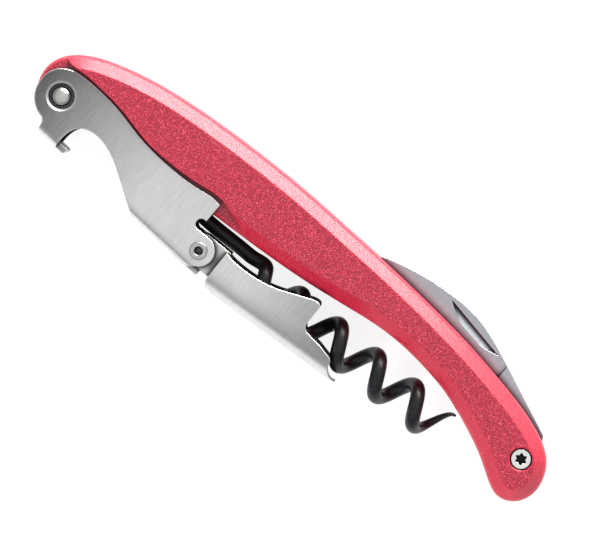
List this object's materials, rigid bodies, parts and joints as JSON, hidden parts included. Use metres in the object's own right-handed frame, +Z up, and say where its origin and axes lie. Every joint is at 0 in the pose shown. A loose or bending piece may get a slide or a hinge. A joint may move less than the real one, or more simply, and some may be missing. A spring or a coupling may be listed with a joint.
{
  "type": "waiters corkscrew",
  "caption": "Folding waiter's corkscrew: curved lacquered grip, two-stage folding boot lever with cap hook, coated wire worm and foil-cutter blade.",
  "frame": {"origin": "bottom centre of the bounding box of the folded tool as it lies on its back shell", "axes": "+X along the grip from the boot lever's pivot to the blade's pivot, +Y towards the grip's spine, +Z up through the thickness"},
  "size_m": [0.1234, 0.0288, 0.013],
  "materials": {
    "red_paint": "metallic red lacquer over a cast light-alloy shell",
    "brushed_steel": "brushed stainless sheet",
    "rivet_steel": "polished",
    "black_worm": "black non-stick coating over steel wire",
    "blade_steel": "ground satin",
    "spring_steel": "satin",
    "bearing_brass": "plain"
  },
  "bodies": {
    "handle": {"handle_shell_front": "red_paint", "handle_shell_back": "red_paint", "shell_dowel_head": "spring_steel", "shell_dowel_mid": "spring_steel", "spring_pin_head": "spring_steel", "spring_pin_tail": "spring_steel", "worm_pin": "spring_steel", "back_spring": "spring_steel", "pivot_bush": "bearing_brass", "lever_washer_front": "bearing_brass", "lever_washer_back": "bearing_brass", "worm_washer_front": "bearing_brass", "worm_washer_back": "bearing_brass", "blade_washer_front": "bearing_brass", "blade_washer_back": "bearing_brass", "blade_screw": "rivet_steel", "blade_nut": "rivet_steel"},
    "first_lever": {"lever_upper": "brushed_steel", "lever_rivet": "rivet_steel", "knee_rivet": "rivet_steel"},
    "second_lever": {"lever_lower": "brushed_steel", "knee_washer_front": "bearing_brass", "knee_washer_back": "bearing_brass"},
    "worm": {"worm": "black_worm"},
    "blade": {"blade": "blade_steel"}
  },
  "joints": [
    {"name": "lever_pivot", "type": "hinge", "parent": "handle", "child": "first_lever", "pos_m": [-0.05584, -0.00278, 0.0065], "axis": [0, 0, -1], "range_deg": [0, 115]},
    {"name": "knee_pivot", "type": "hinge", "parent": "first_lever", "child": "second_lever", "pos_m": [-0.01708, -0.00923, 0.0065], "axis": [0, 0, -1], "range_deg": [0, 90]},
    {"name": "worm_pivot", "type": "hinge", "parent": "handle", "child": "worm", "pos_m": [-0.02584, -0.00348, 0.0065], "axis": [0, 0, -1], "range_deg": [0, 92]},
    {"name": "blade_pivot", "type": "hinge", "parent": "handle", "child": "blade", "pos_m": [0.05547, -0.00148, 0.0065], "axis": [0, 0, -1], "range_deg": [0, 180]}
  ],
  "couplings": [
    {"joint": "worm_pivot", "follows": "lever_pivot", "ratio": 0.8}
  ]
}
